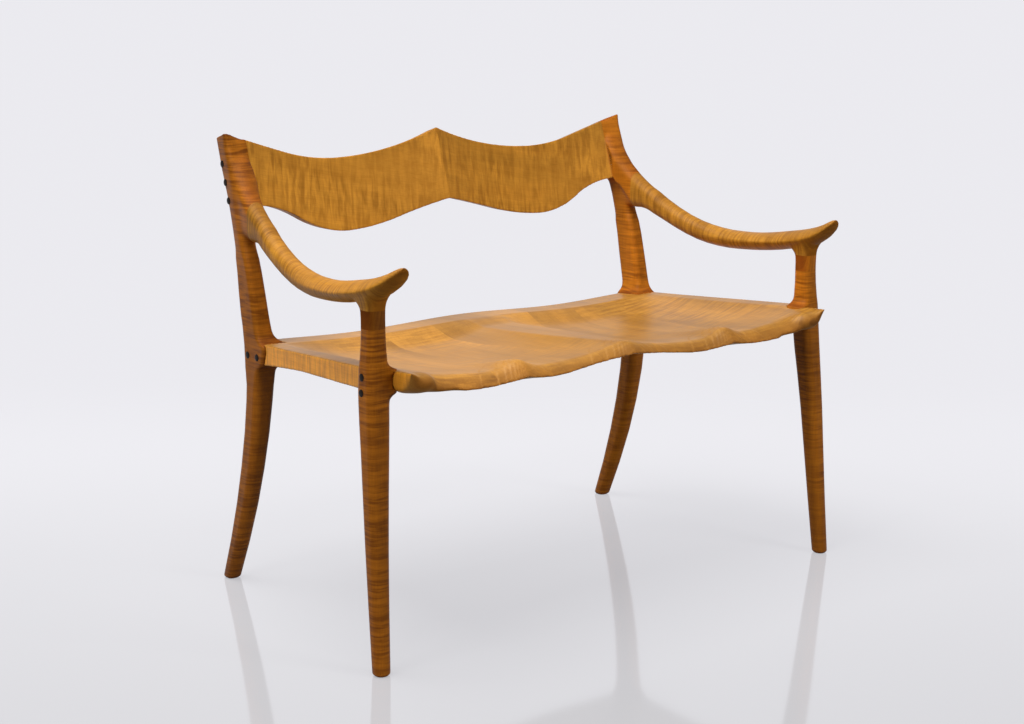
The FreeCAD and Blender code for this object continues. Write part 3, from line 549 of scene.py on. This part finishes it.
def figured_wood(name, turn, shift, mid, figure=1.0, stripe=130.0, slant=16.0, shine=0.15, painted_edge_sheen=1.0):
    # mid is the middle tone; figure, stripe and slant are the curl's strength and its fineness along and
    # across the grain; the edge brightening raises the colour of a board's sawn edges, a painted sheen for the
    # curl's shimmer under the lamps
    material, tree, shader = empty_material(name)
    place = add(tree, "ShaderNodeTexCoord")
    along = add(tree, "ShaderNodeMapping")
    along.inputs["Rotation"].default_value = [math.radians(a) for a in turn]
    along.inputs["Location"].default_value = shift
    join(tree, place.outputs["Object"], along.inputs["Vector"])

    def noise(scale, detail, roughness, distortion=0.0):
        stretch = add(tree, "ShaderNodeMapping")
        stretch.inputs["Scale"].default_value = scale
        join(tree, along.outputs["Vector"], stretch.inputs["Vector"])
        node = add(tree, "ShaderNodeTexNoise", Scale=1.0, Detail=detail, Roughness=roughness,
                   Distortion=distortion)
        join(tree, stretch.outputs["Vector"], node.inputs["Vector"])
        return node.outputs["Fac"]

    slow = noise((2.2, 9.0, 9.0), 3.0, 0.5)
    growth = noise((3.0, 70.0, 70.0), 3.0, 0.55, 0.4)
    fibre = noise((16.0, 480.0, 480.0), 4.0, 0.6)
    curl = noise((stripe, slant, slant), 2.0, 0.55, 0.5)
    patch = noise((6.0, 10.0, 10.0), 1.0, 0.5)

    def shade(level):
        return tuple(level * part for part in mid)

    base = ramp(tree, [(0.30, shade(0.74)), (0.50, shade(1.0)), (0.72, shade(1.26))])
    join(tree, slow, base.inputs["Fac"])
    growth_ramp = ramp(tree, [(0.38, (0.84, 0.80, 0.74)), (0.58, (1.0, 1.0, 1.0))])
    join(tree, growth, growth_ramp.inputs["Fac"])
    fibre_ramp = ramp(tree, [(0.35, (0.84, 0.81, 0.76)), (0.60, (1.04, 1.04, 1.04))])
    join(tree, fibre, fibre_ramp.inputs["Fac"])
    curl_ramp = ramp(tree, [(0.36, (0.50, 0.42, 0.34)), (0.50, (1.0, 1.0, 1.0)),
                            (0.64, (1.45, 1.50, 1.55))])
    join(tree, curl, curl_ramp.inputs["Fac"])
    strength = add(tree, "ShaderNodeMapRange")
    strength.inputs["From Min"].default_value = 0.32
    strength.inputs["From Max"].default_value = 0.62
    strength.inputs["To Min"].default_value = 0.35 * figure
    strength.inputs["To Max"].default_value = figure
    join(tree, patch, strength.inputs["Value"])

    # end grain drinks more oil and is darker: it shows where the surface faces along the grain
    surface = add(tree, "ShaderNodeNewGeometry")
    facing = add(tree, "ShaderNodeMapping", vector_type="VECTOR")
    facing.inputs["Rotation"].default_value = [math.radians(a) for a in turn]
    join(tree, surface.outputs["Normal"], facing.inputs["Vector"])
    parts = add(tree, "ShaderNodeSeparateXYZ")
    join(tree, facing.outputs["Vector"], parts.inputs["Vector"])
    ends = add(tree, "ShaderNodeMath", operation="ABSOLUTE")
    join(tree, parts.outputs["X"], ends.inputs[0])
    ends_ramp = ramp(tree, [(0.35, (1.0, 1.0, 1.0)), (0.95, (0.72, 0.58, 0.44))])
    join(tree, ends.outputs[0], ends_ramp.inputs["Fac"])

    colour = multiply(tree, 0.5, base.outputs["Color"], growth_ramp.outputs["Color"])
    colour = multiply(tree, 1.0, colour, ends_ramp.outputs["Color"])
    if painted_edge_sheen != 1.0:
        # painted sheen: the colour of a board's sawn edges is made brighter, standing in for the curl's
        # shimmer under the lamps
        sides = add(tree, "ShaderNodeMath", operation="ABSOLUTE")
        join(tree, parts.outputs["Y"], sides.inputs[0])
        painted_edge_sheen_ramp = ramp(tree, [(0.75, (1.0, 1.0, 1.0)), (0.97, (painted_edge_sheen, 0.90 * painted_edge_sheen, 0.6 * painted_edge_sheen))])
        join(tree, sides.outputs[0], painted_edge_sheen_ramp.inputs["Fac"])
        colour = multiply(tree, 1.0, colour, painted_edge_sheen_ramp.outputs["Color"])
    colour = multiply(tree, 0.6, colour, fibre_ramp.outputs["Color"])
    colour = multiply(tree, strength.outputs["Result"], colour, curl_ramp.outputs["Color"])
    join(tree, colour, shader.inputs["Base Color"])

    gloss = add(tree, "ShaderNodeMapRange")
    gloss.inputs["To Min"].default_value = 0.30
    gloss.inputs["To Max"].default_value = 0.44
    join(tree, curl, gloss.inputs["Value"])
    rough = add(tree, "ShaderNodeMath", operation="MULTIPLY_ADD")
    rough.inputs[1].default_value = END_ROUGHNESS
    join(tree, ends.outputs[0], rough.inputs[0])
    join(tree, gloss.outputs["Result"], rough.inputs[2])
    join(tree, rough.outputs[0], shader.inputs["Roughness"])
    shader.inputs["Specular IOR Level"].default_value = shine
    bump = add(tree, "ShaderNodeBump")
    bump.inputs["Strength"].default_value = 0.12
    bump.inputs["Distance"].default_value = 0.0005
    join(tree, curl, bump.inputs["Height"])
    join(tree, bump.outputs["Normal"], shader.inputs["Normal"])
    return material


# %% [markdown]
# Legs, arms, crest and boards come from different planks. The legs are the darkest, with a strong fine curl;
# the boards are the palest and calmest. The legs and arm blocks on the left are a shade darker than those on
# the right. That difference is painted shade on the left and painted light on the right, for the way the lamps
# fall on the two sides. Each board is shifted within the pattern, so that no two are alike.

# %% Dressing the wood
ALONG_X = (0, -10, 0)
ALONG_Y = (0, 0, -90)
ALONG_Z = (0, 90, 0)
HONEY = (0.41, 0.176, 0.019)
ARM_HONEY = tuple(0.88 * part for part in HONEY)
PALE_HONEY = (0.38, 0.172, 0.024)
# leg and block tones by side: the left ones are darker as painted shade, the right ones lighter as painted
# light
DEEP_TONE_AND_PAINTED_SIDE_SHADE = {"left": (0.258, 0.080, 0.0044), "right": (0.39, 0.123, 0.007)}


def dress(piece, material):
    piece.data.materials.clear()
    piece.data.materials.append(material)


for number, side in enumerate(SIDES):
    drift = 0.37 * number
    leg_wood = figured_wood("leg_wood_" + side, ALONG_Z, (drift, 0.11, 0.23), DEEP_TONE_AND_PAINTED_SIDE_SHADE[side], 0.8, 215.0)
    dress(pieces["front_leg_" + side], leg_wood)
    dress(pieces["rear_leg_" + side], leg_wood)
    arm_wood = figured_wood("arm_wood_" + side, ALONG_Y, (drift + 0.5, 0.4, 0.1), ARM_HONEY, 0.6, 190.0,
                            shine=0.14)
    dress(pieces["arm_" + side], arm_wood)
    block_wood = figured_wood("block_wood_" + side, ALONG_X, (drift + 0.8, 0.3, 0.6), DEEP_TONE_AND_PAINTED_SIDE_SHADE[side], 0.5,
                              220.0)
    dress(pieces["arm_block_" + side], block_wood)
    crest_wood = figured_wood("crest_wood_" + side, ALONG_X, (drift + 0.2, 0.9, 0.4), HONEY, 0.5, 125.0,
                              slant=22.0, shine=0.2)
    dress(pieces["crest_" + side], crest_wood)
    for k in (1, 2, 3):
        drawn = (drift + 0.19 * k, 0.31 * k, 0.7)
        # the side boards get a painted sheen on their sawn edges, brighter in colour
        board_wood = figured_wood("board_wood_%s_%d" % (side, k), ALONG_Y, drawn, PALE_HONEY,
                                  0.2 + 0.1 * k, 150.0, shine=0.35, painted_edge_sheen=1.75)
        dress(pieces["seat_board_%s_%d" % (side, k)], board_wood)
centre_wood = figured_wood("board_wood_centre", ALONG_Y, (0.9, 0.2, 0.5), PALE_HONEY, 0.25, 150.0,
                           shine=0.35)
dress(pieces["seat_board_centre"], centre_wood)
print("woods:", len({pieces[name].active_material.name for name in pieces if name not in PLUGS}))

# %% [markdown]
# ## Plugs, screws and dowels
# The dark plugs are ebony, almost black, with a little brown along the grain. Behind each one sits a steel
# screw, and dowels hold the glue joints. They are out of sight, but another scene may open the joint.


# %% Finishes of the hardware
def grained(name, dark, light, scale, roughness, metal=0.0, shine=0.3):
    material, tree, shader = empty_material(name)
    place = add(tree, "ShaderNodeTexCoord")
    stretch = add(tree, "ShaderNodeMapping")
    stretch.inputs["Scale"].default_value = scale
    join(tree, place.outputs["Object"], stretch.inputs["Vector"])
    noise = add(tree, "ShaderNodeTexNoise", Scale=1.0, Detail=4.0)
    join(tree, stretch.outputs["Vector"], noise.inputs["Vector"])
    colour = ramp(tree, [(0.35, dark), (0.65, light)])
    join(tree, noise.outputs["Fac"], colour.inputs["Fac"])
    join(tree, colour.outputs["Color"], shader.inputs["Base Color"])
    shader.inputs["Roughness"].default_value = roughness
    shader.inputs["Metallic"].default_value = metal
    shader.inputs["Specular IOR Level"].default_value = shine
    return material


ebony = grained("ebony", (0.004, 0.003, 0.002), (0.012, 0.007, 0.005), (40, 700, 700), 0.42, shine=0.12)
steel = grained("screw_steel", (0.42, 0.42, 0.43), (0.62, 0.62, 0.63), (900, 90, 90), 0.32, 1.0)
birch = grained("dowel_wood", (0.52, 0.36, 0.20), (0.72, 0.54, 0.34), (60, 500, 500), 0.6)
for name in PLUGS:
    dress(pieces[name], ebony)
for name in nodes:
    if name.startswith("screws_"):
        dress(nodes[name], steel)
    if name.startswith("dowels_"):
        dress(nodes[name], birch)
print("hardware:", ebony.name, steel.name, birch.name)

# %% [markdown]
# ## Studio
# The settee stands on a glossy pale floor in front of a pale backdrop, in an otherwise dark room. The room's
# darkness keeps the wood's colour deep: only the floor and the backdrop show in the polish. Their paleness is
# a glow that only the camera and reflections see, so it adds no light to the object. The floor's glow is
# weakest along a line in front of the settee and grows both ways from it. Near the settee the floor also
# takes its shadow, further away the glow alone is left.

# %% Floor and backdrop
FLOOR_HALF = 30.0
PALE = (0.832, 0.826, 0.866)
GLOW_LINE = 1.0
GLOW_REACH = 2.2
GLOW_LEVELS = (0.49, 0.63)
SHADOW_END = (1.4, 2.7)
BACKDROP_DEPTH = 7.0
BACKDROP_HALF = (14, 6)


def seen_rays(tree, kinds=("Is Glossy Ray", "Is Transmission Ray")):
    # 1 for rays of the camera and of reflections, 0 for the light that falls on things
    path = add(tree, "ShaderNodeLightPath")
    total = path.outputs["Is Camera Ray"]
    for kind in kinds:
        most = add(tree, "ShaderNodeMath", operation="MAXIMUM")
        join(tree, total, most.inputs[0])
        join(tree, path.outputs[kind], most.inputs[1])
        total = most.outputs[0]
    return total


bpy.ops.object.select_all(action="DESELECT")
bpy.ops.mesh.primitive_plane_add(size=2 * FLOOR_HALF, location=(0, 0, 0))
floor = bpy.context.object
floor.name = "studio_floor"
floor_finish, tree, shader = empty_material("studio_floor")
place = add(tree, "ShaderNodeTexCoord")
across = add(tree, "ShaderNodeMapping")
across.inputs["Rotation"].default_value = (0, 0, CAMERA_TURN)
join(tree, place.outputs["Object"], across.inputs["Vector"])
split = add(tree, "ShaderNodeSeparateXYZ")
join(tree, across.outputs["Vector"], split.inputs["Vector"])
depth = add(tree, "ShaderNodeMath", operation="ADD")
depth.inputs[1].default_value = GLOW_LINE
join(tree, split.outputs["Y"], depth.inputs[0])
away = add(tree, "ShaderNodeMath", operation="ABSOLUTE")
join(tree, depth.outputs[0], away.inputs[0])


def by_depth(start, end, low, high):
    # from low to high between two distances from the line of the weakest glow
    node = add(tree, "ShaderNodeMapRange", interpolation_type="SMOOTHSTEP")
    node.inputs["From Min"].default_value = start
    node.inputs["From Max"].default_value = end
    node.inputs["To Min"].default_value = low
    node.inputs["To Max"].default_value = high
    join(tree, away.outputs[0], node.inputs["Value"])
    return node.outputs["Result"]


seen = seen_rays(tree)
shader.inputs["Base Color"].default_value = (0.15, 0.15, 0.152, 1)
shader.inputs["Roughness"].default_value = 0.07
shader.inputs["Specular IOR Level"].default_value = 0.55
shader.inputs["Emission Color"].default_value = (*PALE, 1)
near_glow = add(tree, "ShaderNodeMath", operation="MULTIPLY")
join(tree, by_depth(0.0, GLOW_REACH, *GLOW_LEVELS), near_glow.inputs[0])
join(tree, seen, near_glow.inputs[1])
join(tree, near_glow.outputs[0], shader.inputs["Emission Strength"])
far_glow = add(tree, "ShaderNodeEmission", Color=(*PALE, 1), Strength=1.0)
share = add(tree, "ShaderNodeMath", operation="MULTIPLY")
join(tree, by_depth(*SHADOW_END, 0.0, 1.0), share.inputs[0])
join(tree, seen, share.inputs[1])
blend = add(tree, "ShaderNodeMixShader")
join(tree, share.outputs[0], blend.inputs[0])
join(tree, shader.outputs[0], blend.inputs[1])
join(tree, far_glow.outputs[0], blend.inputs[2])
join(tree, blend.outputs[0], tree.nodes["Material Output"].inputs[0])
floor.data.materials.append(floor_finish)

flat_ahead = Vector((math.sin(CAMERA_TURN), math.cos(CAMERA_TURN), 0))
bpy.ops.object.select_all(action="DESELECT")
middle = flat_ahead * BACKDROP_DEPTH + Vector((0, 0, BACKDROP_HALF[1]))
bpy.ops.mesh.primitive_plane_add(size=2, location=middle, rotation=(math.radians(90), 0, -CAMERA_TURN))
backdrop = bpy.context.object
backdrop.scale = (*BACKDROP_HALF, 1)
backdrop.name = "studio_backdrop"
backdrop_finish, tree, shader = empty_material("studio_backdrop")
shader.inputs["Base Color"].default_value = (0.4, 0.4, 0.41, 1)
shader.inputs["Roughness"].default_value = 1.0
pale = add(tree, "ShaderNodeEmission", Color=(*PALE, 1), Strength=1.0)
blend = add(tree, "ShaderNodeMixShader")
join(tree, seen_rays(tree), blend.inputs[0])
join(tree, shader.outputs[0], blend.inputs[1])
join(tree, pale.outputs[0], blend.inputs[2])
join(tree, blend.outputs[0], tree.nodes["Material Output"].inputs[0])
backdrop.data.materials.append(backdrop_finish)
print("stage:", floor.name, backdrop.name)

# %% [markdown]
# ## Lights
# A large softbox hangs above and to the left and gives the seat its sheen. Two smaller ones fill in from the
# left and from the front right. They don't show in reflections: their highlights would wash out the
# colour of the arms and stand in the floor as white squares. A weak light from all round opens the shadows.

# %% Lights
AIM = (0, 0, 0.5)
AMBIENT = 0.24
ROOM = 0.05


def softbox(name, place, width, height, power, mirrored=False):
    bpy.ops.object.select_all(action="DESELECT")
    bpy.ops.object.light_add(type="AREA", location=place)
    lamp = bpy.context.object
    lamp.name = name
    lamp.data.shape = "RECTANGLE"
    lamp.data.size = width
    lamp.data.size_y = height
    lamp.data.energy = power
    lamp.visible_glossy = mirrored
    lamp.rotation_euler = (Vector(AIM) - Vector(place)).to_track_quat("-Z", "Y").to_euler()
    print("lamp:", lamp.name, power, "W")


softbox("overhead", (-0.9, 0.0, 3.0), 2.2, 1.6, 110, mirrored=True)
softbox("side_left", (-5.2, -0.8, 2.3), 1.6, 1.6, 85)
softbox("front_right", (1.4, -3.6, 2.2), 1.2, 1.2, 62)

world = bpy.data.worlds.new("studio")
bpy.context.scene.world = world
world.use_nodes = True
tree = world.node_tree
sky = tree.nodes["Background"]
sky.inputs["Color"].default_value = (*PALE, 1)
path = add(tree, "ShaderNodeLightPath")
dim = add(tree, "ShaderNodeMapRange")
dim.inputs["To Min"].default_value = AMBIENT
dim.inputs["To Max"].default_value = ROOM
join(tree, path.outputs["Is Glossy Ray"], dim.inputs["Value"])
most = add(tree, "ShaderNodeMath", operation="MAXIMUM")
join(tree, dim.outputs["Result"], most.inputs[0])
join(tree, seen_rays(tree, ("Is Transmission Ray",)), most.inputs[1])
join(tree, most.outputs[0], sky.inputs["Strength"])
